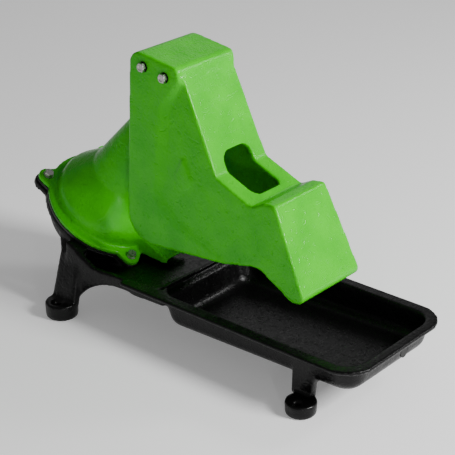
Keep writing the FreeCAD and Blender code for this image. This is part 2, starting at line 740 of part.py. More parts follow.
def panel_slab(inset):
    """Room between the lever's side panels: an even draft, and the nose spreading out of it."""
    draft = (panel_low_half_width - panel_top_half_width) / -nose_root[1]
    spread = nose_half_width - panel_low_half_width
    spread_down = nose_spread_down * spread
    spread_forward = nose_spread_forward * spread
    spread_base = panel_low_half_width + spread_down * nose_root[1] - spread_forward * nose_root[0]
    even = half_width_slab(inset, lambda x, z: panel_top_half_width - draft * z)
    nose = half_width_slab(inset, lambda x, z: spread_base - spread_down * z + spread_forward * x)
    return even.fuse(nose)


def cheek():
    """Wider part of the lever's -Y side, with its broad fillet down to the panel."""
    top = outline(at_pivot(cheek_top_points()), lambda x, z: vec(x, -cheek_half_width, z))
    foot_wire = outline(at_pivot(cheek_foot_points()), lambda x, z: vec(x, -panel_low_half_width + 0.4, z))
    root = side_prism(at_pivot(cheek_top_points()), -panel_low_half_width, -panel_top_half_width + 2)
    return Part.makeLoft([top, foot_wire], True, True).fuse(root)


def lever_boss_pads():
    """Pads inside each cheek where the two distance tubes seat."""
    pads = []
    for x, z in ((pivot_x, pivot_z), (pin_x, pin_z)):
        pads.append(rod_along_y(lever_boss_radius, x, z, pad_face, pad_face + pad_height + 2))
    return both_sides(pads[0].fuse(pads[1]))


def water_drop():
    """Plain raised drop on the +Y and -Y panels."""
    centre_x = pivot_x + drop_from_pivot[0]
    centre_z = pivot_z + drop_from_pivot[1]
    top = centre_z + drop_radius * 2.1
    shoulder = drop_radius * 0.86
    tip = outline([(centre_x, top, 0.5), (centre_x + shoulder, centre_z + drop_radius * 0.5, 4),
                   (centre_x - shoulder, centre_z + drop_radius * 0.5, 4)],
                  lambda x, z: vec(x, -panel_low_half_width - drop_height, z))
    drop = Part.Face(tip).extrude(vec(0, drop_height + 1, 0))
    round_part = rod_along_y(drop_radius, centre_x, centre_z,
                             -panel_low_half_width - drop_height, -panel_low_half_width + 1)
    return both_sides(drop.fuse(round_part))


def window_plate(x_low, x_high, round_low, round_high, z_low, z_high):
    """Flat cutter with one rounded end, the same width as the window."""
    half = window_half_width
    return flat_prism([(x_low, -half, round_low), (x_high, -half, round_high), (x_high, half, round_high),
                       (x_low, half, round_low)], z_low, z_high)


def window():
    """Opening over the bend between the lever's slope and its ridge."""
    bend_x = pivot_x + slope_bend[0]
    bend_z = pivot_z + slope_bend[1]
    overlap = 6.0
    ridge_end = bend_x + window_ridge_reach
    through_ridge = window_plate(bend_x - overlap, ridge_end, 0, window_corner_radius,
                                 bend_z - 60, bend_z + 8)
    through_slope = window_plate(-window_slope_reach, overlap, window_corner_radius + 4, 0, -16, 12)
    lean = math.degrees(math.atan2(crown_front[1] - slope_bend[1], slope_bend[0] - crown_front[0]))
    through_slope.Placement = FreeCAD.Placement(vec(bend_x, 0, bend_z), FreeCAD.Rotation(along_y, lean))
    return through_ridge.fuse(through_slope)


def lever():
    full = side_prism(at_pivot(lever_points()), -nose_half_width - 2, nose_half_width + 2)
    body = full.common(panel_slab(0.0))
    body = body.fuse([cheek(), mirrored(cheek())])
    inner_panel = side_prism(at_pivot(lever_inner_points()), -nose_half_width, nose_half_width)
    room_half = cheek_half_width - lever_wall
    rear_room = side_prism(at_pivot(lever_rear_points()), -room_half, room_half)
    body = body.cut(inner_panel.common(panel_slab(lever_wall)).fuse(rear_room))
    pad_room = side_prism(at_pivot(lever_points()), -cheek_half_width + 1, cheek_half_width - 1)
    body = body.fuse(lever_boss_pads().common(pad_room))
    body = body.cut(window()).fuse(water_drop())
    for x, z in ((pivot_x, pivot_z), (pin_x, pin_z)):
        body = body.cut(rod_along_y(lever_boss_radius, x, z, -pad_face, pad_face))
        reach = cheek_half_width + 1
        body = body.cut(rod_along_y(bolt_radius + bolt_clearance, x, z, -reach, reach))
    return body


# ---- pins and fasteners on the lever --------------------------------------------------------------
def cross_bolt(x, z):
    """Hex bolt through both cheeks, its head on the -Y side."""
    seat = cheek_half_width + washer_thickness
    shank = disc(bolt_radius, -seat, seat + nut_height + 3)
    head = hexagon(hex_across_flats, -seat - hex_head_height, -seat, 12)
    return laid_along_y(shank.fuse(head), x, z)


def cross_nut(x, z):
    seat = cheek_half_width + washer_thickness
    nut = hexagon(hex_across_flats, seat, seat + nut_height, 20)
    return laid_along_y(nut.cut(disc(bolt_radius, seat - 1, seat + nut_height + 1)), x, z)


def cross_washers(x, z):
    low = cheek_half_width
    washer = ring(washer_radius, bolt_radius + bolt_clearance, low, low + washer_thickness)
    return [laid_along_y(washer, x, z), mirrored(laid_along_y(washer, x, z))]


def distance_tube(x, z):
    tube = ring(distance_tube_radius, bolt_radius + tube_wall_clearance, -pad_face, pad_face)
    return laid_along_y(tube, x, z)


def tube_spacers(x, z, inner_face):
    """Two loose rings on a distance tube, filling the room out to the lever's pads."""
    low = inner_face + side_clearance
    spacer = ring(spacer_radius, distance_tube_radius + tube_wall_clearance, low, pad_face)
    return [laid_along_y(spacer, x, z), mirrored(laid_along_y(spacer, x, z))]


# ---- connecting rod and plunger ------------------------------------------------------------------
def connecting_rod():
    """Rod from the plunger's clevis pin up to the lever's rear pin, with a widened upper eye."""
    low = pump_placement.multVec(vec(0, 0, clevis_pin_height))
    high = vec(pin_x, 0, pin_z)
    along = high - low
    bar = Part.makeCylinder(rod_radius, along.Length, low, along)
    lower_eye = rod_along_y(clevis_eye_radius - 0.5, low.x, low.z, -rod_eye_width / 4, rod_eye_width / 4)
    upper_eye = rod_along_y(rod_eye_radius, high.x, high.z, -rod_eye_width / 2, rod_eye_width / 2)
    near_low = Part.makeSphere(clevis_eye_radius + 6, low)
    slot = Part.makeBox(80, 40, 80, vec(low.x - 40, rod_eye_width / 4, low.z - 40))
    slot = slot.fuse(mirrored(slot)).common(near_low)
    body = bar.cut(slot).fuse([lower_eye, upper_eye])
    body = body.cut(rod_along_y(clevis_pin_radius + running_clearance, low.x, low.z, -30, 30))
    return body.cut(rod_along_y(distance_tube_radius + open_pivot_clearance, high.x, high.z, -30, 30))


def plunger_top():
    return plunger_level + plate_thickness


def flow_holes(low, high):
    holes = []
    for step in range(flow_hole_count):
        turn = 2 * math.pi * (step + 0.5) / flow_hole_count
        spot = vec(flow_hole_circle * math.cos(turn), flow_hole_circle * math.sin(turn), low)
        holes.append(Part.makeCylinder(flow_hole_radius, high - low, spot))
    return holes[0].fuse(holes[1:])


def upper_plate():
    plate = ring(plate_radius, plunger_bolt_radius + tube_wall_clearance, plunger_level, plunger_top())
    return in_pump(plate.cut(flow_holes(plunger_level - 1, plunger_top() + 1)))


def lower_plate():
    high = plunger_level - diaphragm_thickness
    plate = ring(plate_radius, plunger_bolt_radius + tube_wall_clearance, high - plate_thickness, high)
    return in_pump(plate.cut(flow_holes(high - plate_thickness - 1, high + 1)))


def plunger_hub():
    """Turned hub on the upper plate: stops the delivery valve, seats the spring, holds the clevis."""
    low = plunger_top()
    stop = low + valve_ring_thickness + delivery_valve_lift
    top = stop + hub_lip_thickness
    body = disc(hub_radius, low, top).fuse(disc(hub_lip_radius, stop, top))
    inner = rod_eye_width / 4 + side_clearance
    cheek = side_prism([(-clevis_eye_radius, top - 2, 0), (clevis_eye_radius, top - 2, 0),
                        (clevis_eye_radius, clevis_pin_height + clevis_eye_radius, clevis_eye_radius - 0.5),
                        (-clevis_eye_radius, clevis_pin_height + clevis_eye_radius, clevis_eye_radius - 0.5)],
                       inner, inner + clevis_cheek_thickness)
    body = body.fuse(both_sides(cheek))
    body = body.cut(rod_along_y(clevis_pin_radius, 0, clevis_pin_height, -30, 30))
    room = rod_along_y(clevis_eye_radius + 1.5, 0, clevis_pin_height, -inner, inner)
    body = body.cut(room)
    return in_pump(body.cut(disc(plunger_bolt_radius, low - 1, low + 7)))


def clevis_pin():
    outer = rod_eye_width / 4 + side_clearance + clevis_cheek_thickness
    return in_pump(rod_along_y(clevis_pin_radius, 0, clevis_pin_height, -outer, outer))


def plunger_bolt():
    seat = plunger_level - diaphragm_thickness - plate_thickness
    head = hexagon(plunger_head_radius * math.sqrt(3), seat - plunger_head_height, seat)
    return in_pump(head.fuse(disc(plunger_bolt_radius, seat, plunger_top() + 7)))


def delivery_valve():
    low = plunger_top()
    return in_pump(ring(valve_ring_radius, hub_radius + body_gap, low, low + valve_ring_thickness))


def diaphragm():
    """Moulded diaphragm: clamped rim with bolt ears, one rolled convolution, clamped middle."""
    top = -cover_flange_thickness
    low = top - diaphragm_thickness
    mid = plunger_level - diaphragm_thickness
    roll = mid - convolution_depth
    rim = eared_flange(cover_ear_radius, low, top)
    rim = rim.cut(disc(diaphragm_inner_clamp, low - 1, top + 1))
    web = turned([(diaphragm_inner_clamp + 0.5, top), (diaphragm_inner_clamp + 0.5, low),
                  (diaphragm_inner_clamp - 5, roll - 1), (diaphragm_inner_clamp - 14, roll - 5),
                  (plate_radius + 6, roll - 1), (plate_radius + 1, mid), (0, mid),
                  (0, plunger_level), (plate_radius + 3, plunger_level),
                  (plate_radius + 9, roll + 4), (diaphragm_inner_clamp - 15, roll - 0.5),
                  (diaphragm_inner_clamp - 9, roll + 3), (diaphragm_inner_clamp - 3, top)])
    body = rim.fuse(web).cut(flow_holes(mid - 1, plunger_level + 1))
    return in_pump(body.cut(disc(plunger_bolt_radius + tube_wall_clearance, mid - 1, plunger_level + 1)))


# ---- return spring --------------------------------------------------------------------------------
def return_spring():
    """Compression spring between the plunger's hub and the seat ring in the neck."""
    low = plunger_top() + valve_ring_thickness + delivery_valve_lift + hub_lip_thickness + spring_wire_radius
    high = shoulder_height - spring_seat_thickness - spring_wire_radius
    pitch = (high - low) / spring_turns
    path = Part.makeHelix(pitch, high - low, spring_coil_radius)
    path.translate(vec(0, 0, low))
    rim = []
    for step in range(spring_wire_sides):
        turn = 2 * math.pi * step / spring_wire_sides
        rim.append(vec(spring_coil_radius + spring_wire_radius * math.cos(turn), 0,
                       low + spring_wire_radius * math.sin(turn)))
    section = Part.makePolygon(rim + [rim[0]])
    coil = Part.Wire(path).makePipeShell([section], True, True)
    return in_pump(coil)


def spring_seat():
    high = shoulder_height
    outer = spring_coil_radius + 5
    inner = shoulder_hole_radius - 4.5
    return in_pump(ring(outer, inner, high - spring_seat_thickness, high))


# ---- inlet valve ------------------------------------------------------------------------------------
def inlet_floor():
    return -body_flange_bottom - bowl_depth + 2


def inlet_seat():
    low = inlet_floor()
    body = disc(inlet_seat_radius, low, low + inlet_seat_thickness)
    for step in range(inlet_hole_count):
        turn = 2 * math.pi * step / inlet_hole_count
        spot = vec(inlet_hole_circle * math.cos(turn), inlet_hole_circle * math.sin(turn), low - 1)
        body = body.cut(Part.makeCylinder(inlet_hole_radius, inlet_seat_thickness + 2, spot))
    return in_pump(body.cut(disc(inlet_stem_radius, low - 1, low + inlet_seat_thickness + 1)))


def inlet_disc():
    low = inlet_floor() + inlet_seat_thickness
    return in_pump(ring(inlet_disc_radius, inlet_stem_radius + body_gap, low, low + inlet_disc_thickness))


def inlet_guard():
    """Stem and guard plate that hold the inlet disc and stop its lift."""
    low = inlet_floor()
    stop = low + inlet_seat_thickness + inlet_disc_thickness + inlet_valve_lift
    stem = disc(inlet_stem_radius, low, stop)
    return in_pump(stem.fuse(disc(inlet_guard_radius, stop, stop + inlet_guard_thickness)))


# ---- flange fasteners and drain ------------------------------------------------------------------
def cover_bolts():
    bolts = []
    for spot in ear_spots(0):
        shank_low = -body_flange_bottom - washer_thickness - nut_height - 3
        shank = disc(bolt_radius, shank_low, washer_thickness)
        bolt = shank.fuse(hexagon(hex_across_flats, washer_thickness, washer_thickness + hex_head_height, 17))
        bolt.translate(spot)
        bolts.append(in_pump(bolt))
    return bolts


def cover_washers():
    washers = []
    for spot in ear_spots(0):
        for low in (0.0, -body_flange_bottom - washer_thickness):
            washer = ring(washer_radius, bolt_radius + bolt_clearance, low, low + washer_thickness)
            washer.translate(spot)
            washers.append(in_pump(washer))
    return washers


def cover_nuts():
    nuts = []
    high = -body_flange_bottom - washer_thickness
    for spot in ear_spots(0):
        nut = hexagon(hex_across_flats, high - nut_height, high, 17)
        nut = nut.cut(disc(bolt_radius, high - nut_height - 1, high + 1))
        nut.translate(spot)
        nuts.append(in_pump(nut))
    return nuts


def drain_plug():
    """Rubber plug pushed through the basin's front wall, low down."""
    stem = Part.makeCylinder(drain_hole_radius, drain_stem_length,
                             vec(drain_seat_x - drain_stem_length, drain_side, drain_height), along_x)
    head = Part.makeCylinder(drain_head_radius, drain_head_thickness,
                             vec(drain_seat_x, drain_side, drain_height), along_x)
    return stem.fuse(head)


def build():
    pivot = (pivot_x, pivot_z)
    rod_pin = (pin_x, pin_z)
    arm_outer = arm_gap / 2 + arm_plate_thickness
    nodes = {
        "trough_casting": trough_casting(),
        "pump_cover": pump_cover(),
        "lever": lever(),
        "pivot_bolt": cross_bolt(*pivot),
        "pivot_nut": cross_nut(*pivot),
        "pivot_washers": Part.makeCompound(cross_washers(*pivot)),
        "pivot_tube": distance_tube(*pivot),
        "pivot_spacers": Part.makeCompound(tube_spacers(*pivot, arm_outer)),
        "rod_pin_bolt": cross_bolt(*rod_pin),
        "rod_pin_nut": cross_nut(*rod_pin),
        "rod_pin_washers": Part.makeCompound(cross_washers(*rod_pin)),
        "rod_pin_tube": distance_tube(*rod_pin),
        "rod_pin_spacers": Part.makeCompound(tube_spacers(*rod_pin, rod_eye_width / 2)),
        "connecting_rod": connecting_rod(),
        "plunger_hub": plunger_hub(),
        "plunger_bolt": plunger_bolt(),
        "plunger_upper_plate": upper_plate(),
        "plunger_lower_plate": lower_plate(),
        "clevis_pin": clevis_pin(),
        "delivery_valve": delivery_valve(),
        "diaphragm": diaphragm(),
        "return_spring": return_spring(),
        "spring_seat": spring_seat(),
        "inlet_valve_seat": inlet_seat(),
        "inlet_valve_disc": inlet_disc(),
        "inlet_valve_guard": inlet_guard(),
        "cover_bolts": Part.makeCompound(cover_bolts()),
        "cover_washers": Part.makeCompound(cover_washers()),
        "cover_nuts": Part.makeCompound(cover_nuts()),
        "drain_plug": drain_plug(),
    }
    os.makedirs("parts", exist_ok=True)
    for name, shape in nodes.items():
        shape.exportStep("parts/" + name + ".step")
        box = shape.BoundBox
        print(name, shape.isValid(), len(shape.Solids), round(shape.Volume),
              [round(value, 1) for value in (box.XMin, box.XMax, box.YMin, box.YMax, box.ZMin, box.ZMax)])


build()
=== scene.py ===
"""Looks of a nose-operated pasture pump, built around its CAD frame.

The three castings are skinned from their CAD solids: each is worn round as a sand casting is, then
enamelled.  The lever's cross screws and nuts are made here.  The diaphragm and the return spring are
copies of their CAD shape with smooth shading.  Every other piece keeps its CAD shape.
Lengths are in metres in the frame's own axes unless a name ends in _mm.
"""
import logging
import math
from dataclasses import dataclass
from enum import Enum

import bmesh
import bpy
from mathutils import Matrix, Vector


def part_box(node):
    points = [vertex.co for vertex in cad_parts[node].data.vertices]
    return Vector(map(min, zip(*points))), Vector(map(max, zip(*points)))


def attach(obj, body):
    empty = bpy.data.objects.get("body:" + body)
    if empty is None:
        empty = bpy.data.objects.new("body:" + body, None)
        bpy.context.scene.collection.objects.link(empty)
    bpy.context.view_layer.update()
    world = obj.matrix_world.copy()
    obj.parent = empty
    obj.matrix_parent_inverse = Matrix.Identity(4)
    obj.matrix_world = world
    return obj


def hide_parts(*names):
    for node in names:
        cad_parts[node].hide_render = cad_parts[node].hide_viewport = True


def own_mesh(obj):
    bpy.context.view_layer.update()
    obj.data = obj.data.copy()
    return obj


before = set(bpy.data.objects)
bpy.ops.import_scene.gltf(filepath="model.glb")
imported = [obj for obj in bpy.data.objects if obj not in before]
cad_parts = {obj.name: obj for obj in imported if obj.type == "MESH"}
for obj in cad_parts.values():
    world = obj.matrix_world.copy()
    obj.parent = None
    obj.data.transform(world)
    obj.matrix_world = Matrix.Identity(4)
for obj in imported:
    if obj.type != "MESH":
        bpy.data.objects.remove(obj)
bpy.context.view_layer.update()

LOG = logging.getLogger("pasture_pump")
MM = 0.001
MERGE_REACH = 1e-6
RING_POINTS = 48
# Nearly all of a noise pattern lies between these two values.
NOISE_LOW = 0.3
NOISE_HIGH = 0.7


class Slot(Enum):
    """Material slots of the record."""

    GREEN = "green_enamel"
    BLACK = "black_enamel"
    ZINC = "zinc_steel"
    RUBBER = "black_rubber"
    BRASS = "brass"
    SPRING = "spring_steel"


# ---- colour and node helpers ----
def linear(colour: str) -> tuple[float, float, float, float]:
    """Turns an sRGB hex colour to linear values.

    Args:
        colour: six hex digits, such as "4FB52A".

    Returns:
        Red, green, blue and an alpha of 1.
    """
    parts = [int(colour[start:start + 2], 16) / 255 for start in (0, 2, 4)]
    red, green, blue = (part / 12.92 if part <= 0.04045 else ((part + 0.055) / 1.055) ** 2.4
                        for part in parts)
    return red, green, blue, 1.0


def add_node(tree: bpy.types.NodeTree, kind: str, settings: dict[str | int, object],
             links: dict[str | int, bpy.types.NodeSocket]) -> bpy.types.Node:
    """Adds one node to a tree.

    Args:
        tree: the tree that gets the node.
        kind: the node's type name.
        settings: values by input name, input number or attribute name.
        links: output sockets by the name or number of the input they feed.

    Returns:
        The new node.
    """
    node = tree.nodes.new(kind)
    for key, value in settings.items():
        if isinstance(key, int) or key in node.inputs.keys():
            node.inputs[key].default_value = value
        else:
            setattr(node, key, value)
    for key, socket in links.items():
        tree.links.new(socket, node.inputs[key])
    return node


def per_metre(size_mm: float) -> float:
    """Gives the noise scale whose features are about size_mm across."""
    return 1.0 / (size_mm * MM)


def blank_material(name: str) -> tuple[bpy.types.Material, bpy.types.NodeTree, bpy.types.NodeSocket]:
    """Starts a material with an empty tree.

    Args:
        name: the material's name.

    Returns:
        The material, its tree, and the output with the piece's own coordinates.
    """
    material = bpy.data.materials.new(name)
    material.use_nodes = True
    tree = material.node_tree
    tree.nodes.clear()
    place = add_node(tree, "ShaderNodeTexCoord", {}, {}).outputs["Object"]
    return material, tree, place


# ---- finishes ----
@dataclass(frozen=True)
class Enamel:
    """Glossy brushed and baked enamel over sand-cast iron.

    The eye gets a hard clear gloss over a skin that is never flat: sand grain, soft waves
    from the mould and a few pits.
    """

    name: str
    slot: Slot
    body: str
    deep: str
    gloss: float
    rough_low: float
    rough_high: float
    grain_mm: float
    grain_depth_mm: float
    wave_mm: float
    wave_depth_mm: float
    pit_mm: float
    pit_depth_mm: float
    coat: float
    coat_roughness: float
    tint_mm: float = 45.0
    tint_from: float = 0.32
    tint_to: float = 0.62
    pit_from: float = 0.62
    pit_to: float = 0.72

    def make(self) -> bpy.types.Material:
        """Builds the material.

        Returns:
            The finished material.
        """
        material, tree, place = blank_material(self.name)
        tint = add_node(tree, "ShaderNodeTexNoise",
                        {"Scale": per_metre(self.tint_mm), "Detail": 3.0}, {"Vector": place})
        shade = add_node(tree, "ShaderNodeValToRGB", {}, {"Fac": tint.outputs["Fac"]})
        shade.color_ramp.elements[0].position = self.tint_from
        shade.color_ramp.elements[0].color = linear(self.deep)
        shade.color_ramp.elements[1].position = self.tint_to
        shade.color_ramp.elements[1].color = linear(self.body)
        grain = add_node(tree, "ShaderNodeTexNoise",
                         {"Scale": per_metre(self.grain_mm), "Detail": 3.0, "Roughness": 0.6},
                         {"Vector": place})
        wave = add_node(tree, "ShaderNodeTexNoise",
                        {"Scale": per_metre(self.wave_mm), "Detail": 2.0}, {"Vector": place})
        pits = add_node(tree, "ShaderNodeTexNoise",
                        {"Scale": per_metre(self.pit_mm), "Detail": 1.0}, {"Vector": place})
        pit_mask = add_node(tree, "ShaderNodeMapRange",
                            {"From Min": self.pit_from, "From Max": self.pit_to,
                             "To Min": 0.0, "To Max": 1.0},
                            {"Value": pits.outputs["Fac"]})
        rough = add_node(tree, "ShaderNodeMapRange",
                         {"From Min": NOISE_LOW, "From Max": NOISE_HIGH,
                          "To Min": self.rough_low, "To Max": self.rough_high},
                         {"Value": grain.outputs["Fac"]})
        waved = add_node(tree, "ShaderNodeBump", {"Distance": self.wave_depth_mm * MM, "Strength": 1.0},
                         {"Height": wave.outputs["Fac"]})
        grained = add_node(tree, "ShaderNodeBump", {"Distance": self.grain_depth_mm * MM, "Strength": 1.0},
                           {"Height": grain.outputs["Fac"], "Normal": waved.outputs["Normal"]})
        pitted = add_node(tree, "ShaderNodeBump",
                          {"Distance": self.pit_depth_mm * MM, "Strength": 1.0, "invert": True},
                          {"Height": pit_mask.outputs["Result"], "Normal": grained.outputs["Normal"]})
        shader = add_node(tree, "ShaderNodeBsdfPrincipled",
                          {"Metallic": 0.0, "IOR": 1.5, "Coat Weight": self.coat,
                           "Coat Roughness": self.coat_roughness, "Specular IOR Level": self.gloss},
                          {"Base Color": shade.outputs["Color"], "Roughness": rough.outputs["Result"],
                           "Normal": pitted.outputs["Normal"], "Coat Normal": pitted.outputs["Normal"]})
        add_node(tree, "ShaderNodeOutputMaterial", {}, {"Surface": shader.outputs["BSDF"]})
        return material


@dataclass(frozen=True)
class PlainMetal:
    """Zinc plate, turned brass, drawn spring steel, and near-black zinc that is painted shade.

    The eye gets a metal gloss broken by fine marks, drawn coarser than the real ones so that they show.
    """

    name: str
    slot: Slot
    body: str
    worn: str
    rough_low: float
    rough_high: float
    mark_mm: float
    mark_depth_mm: float
    worn_to: float = 0.35
    body_from: float = 0.6

    def make(self) -> bpy.types.Material:
        """Builds the material.

        Returns:
            The finished material.
        """
        material, tree, place = blank_material(self.name)
        marks = add_node(tree, "ShaderNodeTexNoise",
                         {"Scale": per_metre(self.mark_mm), "Detail": 4.0, "Roughness": 0.6},
                         {"Vector": place})
        shade = add_node(tree, "ShaderNodeValToRGB", {}, {"Fac": marks.outputs["Fac"]})
        shade.color_ramp.elements[0].position = self.worn_to
        shade.color_ramp.elements[0].color = linear(self.worn)
        shade.color_ramp.elements[1].position = self.body_from
        shade.color_ramp.elements[1].color = linear(self.body)
        rough = add_node(tree, "ShaderNodeMapRange",
                         {"From Min": NOISE_LOW, "From Max": NOISE_HIGH,
                          "To Min": self.rough_low, "To Max": self.rough_high},
                         {"Value": marks.outputs["Fac"]})
        bump = add_node(tree, "ShaderNodeBump", {"Distance": self.mark_depth_mm * MM, "Strength": 1.0},
                        {"Height": marks.outputs["Fac"]})
        shader = add_node(tree, "ShaderNodeBsdfPrincipled", {"Metallic": 1.0},
                          {"Base Color": shade.outputs["Color"], "Roughness": rough.outputs["Result"],
                           "Normal": bump.outputs["Normal"]})
        add_node(tree, "ShaderNodeOutputMaterial", {}, {"Surface": shader.outputs["BSDF"]})
        return material


@dataclass(frozen=True)
class MouldedRubber:
    """Moulded black rubber.

    The eye gets a dull black with a matt grain, drawn coarser than the real one so that it shows.
    """

    name: str
    slot: Slot
    body: str
    bloom: str
    grain_mm: float
    grain_depth_mm: float
    bloom_mm: float = 20.0
    roughness: float = 0.62
    ior: float = 1.52

    def make(self) -> bpy.types.Material:
        """Builds the material.

        Returns:
            The finished material.
        """
        material, tree, place = blank_material(self.name)
        grain = add_node(tree, "ShaderNodeTexNoise",
                         {"Scale": per_metre(self.grain_mm), "Detail": 3.0}, {"Vector": place})
        bloom = add_node(tree, "ShaderNodeTexNoise",
                         {"Scale": per_metre(self.bloom_mm), "Detail": 2.0}, {"Vector": place})
        shade = add_node(tree, "ShaderNodeValToRGB", {}, {"Fac": bloom.outputs["Fac"]})
        shade.color_ramp.elements[0].color = linear(self.body)
        shade.color_ramp.elements[1].color = linear(self.bloom)
        bump = add_node(tree, "ShaderNodeBump", {"Distance": self.grain_depth_mm * MM, "Strength": 1.0},
                        {"Height": grain.outputs["Fac"]})
        shader = add_node(tree, "ShaderNodeBsdfPrincipled", {"Roughness": self.roughness, "IOR": self.ior},
                          {"Base Color": shade.outputs["Color"], "Normal": bump.outputs["Normal"]})
        add_node(tree, "ShaderNodeOutputMaterial", {}, {"Surface": shader.outputs["BSDF"]})
        return material


GREEN_ENAMEL = Enamel(
    name="green_enamel_on_cast_iron", slot=Slot.GREEN, body="3ABE03", deep="31B002",
    gloss=0.1, rough_low=0.24, rough_high=0.38, grain_mm=4.0, grain_depth_mm=0.7,
    wave_mm=18.0, wave_depth_mm=1.4, pit_mm=9.0, pit_depth_mm=0.5, coat=0.25, coat_roughness=0.05)
BLACK_ENAMEL = Enamel(
    name="black_enamel_on_cast_iron", slot=Slot.BLACK, body="060606", deep="040404",
    gloss=0.2, rough_low=0.24, rough_high=0.4, grain_mm=4.0, grain_depth_mm=0.4,
    wave_mm=16.0, wave_depth_mm=0.9, pit_mm=8.0, pit_depth_mm=0.4, coat=0.0, coat_roughness=0.06)
ZINC_PLATE = PlainMetal(
    name="bright_zinc_plate", slot=Slot.ZINC, body="C9C9C4", worn="A9A9A4",
    rough_low=0.22, rough_high=0.4, mark_mm=1.6, mark_depth_mm=0.03)
# Painted shade: the lever washers are zinc steel; this near-black copy paints the shadowed ring round each
# screw head.
WASHER_SHADE_PAINT = PlainMetal(
    name="blackened_steel_washer", slot=Slot.ZINC, body="1A1B1A", worn="101110",
    rough_low=0.35, rough_high=0.55, mark_mm=1.6, mark_depth_mm=0.03)
TURNED_BRASS = PlainMetal(
    name="turned_brass", slot=Slot.BRASS, body="D0A750", worn="B98D3C",
    rough_low=0.2, rough_high=0.35, mark_mm=1.2, mark_depth_mm=0.02)
SPRING_WIRE = PlainMetal(
    name="drawn_spring_steel", slot=Slot.SPRING, body="8F8F8C", worn="767672",
    rough_low=0.25, rough_high=0.4, mark_mm=1.0, mark_depth_mm=0.02)
RUBBER = MouldedRubber(
    name="moulded_black_rubber", slot=Slot.RUBBER, body="131313", bloom="1C1C1B",
    grain_mm=0.8, grain_depth_mm=0.05)


class Finishes:
    """Makes each finish once and lays it on pieces."""

    def __init__(self) -> None:
        """Builds all materials."""
        kinds = (GREEN_ENAMEL, BLACK_ENAMEL, ZINC_PLATE, TURNED_BRASS, SPRING_WIRE, RUBBER)
        self.by_slot = {kind.slot: kind.make() for kind in kinds}
        # Painted shade: a near-black copy of the zinc for the lever washers, standing in for the shadow ring
        # round each screw head.
        self.shaded_washer_paint = WASHER_SHADE_PAINT.make()

    def lay_on(self, piece: bpy.types.Object, slot: Slot) -> None:
        """Gives a new piece one finish.

        Args:
            piece: the new piece.
            slot: the slot whose finish it gets.
        """
        piece.data.materials.clear()
        piece.data.materials.append(self.by_slot[slot])

    def repaint(self, node: str, material: bpy.types.Material) -> None:
        """Gives a carried-over CAD node its finish, in every material slot it has.

        Args:
            node: the CAD node.
            material: the finish it gets.
        """
        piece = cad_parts[node]
        if not piece.material_slots:
            piece.data.materials.append(material)
        for holder in piece.material_slots:
            holder.material = material


# ---- castings and soft pieces ----
def merged_copy(node: str, name: str) -> bpy.types.Object:
    """Copies a CAD node's mesh and merges its loose triangles.

    Args:
        node: the CAD node.
        name: the new object's name.

    Returns:
        A linked object at the origin.
    """
    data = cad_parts[node].data.copy()
    data.name = name
    shape = bmesh.new()
    shape.from_mesh(data)
    bmesh.ops.remove_doubles(shape, verts=shape.verts, dist=MERGE_REACH)
    shape.to_mesh(data)
    shape.free()
    piece = bpy.data.objects.new(name, data)
    bpy.context.scene.collection.objects.link(piece)
    return piece


def settle(piece: bpy.types.Object, smooth: bool = True) -> bpy.types.Object:
    """Turns a piece's modifiers into its mesh.

    Args:
        piece: the piece to finish.
        smooth: whether its shading runs smoothly over every edge.

    Returns:
        The same piece.
    """
    graph = bpy.context.evaluated_depsgraph_get()
    data = bpy.data.meshes.new_from_object(piece.evaluated_get(graph))
    piece.modifiers.clear()
    piece.data = data
    data.name = piece.name
    data.polygons.foreach_set("use_smooth", [smooth] * len(data.polygons))
    if "sharp_edge" in data.attributes:
        data.attributes.remove(data.attributes["sharp_edge"])
    return piece


@dataclass
class Casting:
    """A sand casting skinned from its CAD solid: every edge is worn round, as the mould leaves it."""

    node: str
    name: str
    body: str
    slot: Slot
    voxel_mm: float
    rounding: int
    softness: float = 0.5

    def build(self, finishes: Finishes) -> bpy.types.Object:
        """Makes the rounded skin and dresses it.

        Args:
            finishes: the finish store.

        Returns:
            The finished piece.
        """
        piece = merged_copy(self.node, self.name)
        remesh = piece.modifiers.new("even_skin", "REMESH")
        remesh.mode = "VOXEL"
        remesh.voxel_size = self.voxel_mm * MM
        soften = piece.modifiers.new("round_edges", "SMOOTH")
        soften.factor = self.softness
        soften.iterations = self.rounding
        settle(piece)
        finishes.lay_on(piece, self.slot)
        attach(piece, self.body)
        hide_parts(self.node)
        LOG.info("%s: %d faces", self.name, len(piece.data.polygons))
        return piece


@dataclass(frozen=True)
class SoftWorks:
    """The diaphragm and the return spring, as copies of their CAD shape.

    Heights are along the pump's axis from the middle of the cover flange's top.
    """

    nodes: tuple[str, str] = ("diaphragm", "return_spring")
    joint: str = "plunger_slide"
    pin_joint: str = "rod_tilt"
    pin_height_mm: float = 9.0
    clamp_height_mm: float = -10.0
    diaphragm_keep: float = 0.59
    spring_top_mm: float = 94.0
    spring_keep: float = 0.944
    edge_degrees: float = 38.0

    def build(self, finishes: Finishes) -> None:
        """Makes both pieces.

        Args:
            finishes: the finish store.
        """
        for node, (name, slot, height, keep) in zip(self.nodes, (
                ("moulded_diaphragm", Slot.RUBBER, self.clamp_height_mm, self.diaphragm_keep),
                ("coil_spring", Slot.SPRING, self.spring_top_mm, self.spring_keep))):
            piece = merged_copy(node, name)
            piece.data.polygons.foreach_set("use_smooth", [True] * len(piece.data.polygons))
            piece.data.set_sharp_from_angle(angle=math.radians(self.edge_degrees))
            finishes.lay_on(piece, slot)
            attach(piece, "casting")
            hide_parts(node)
            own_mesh(piece)
            LOG.info("%s: %d faces", name, len(piece.data.polygons))


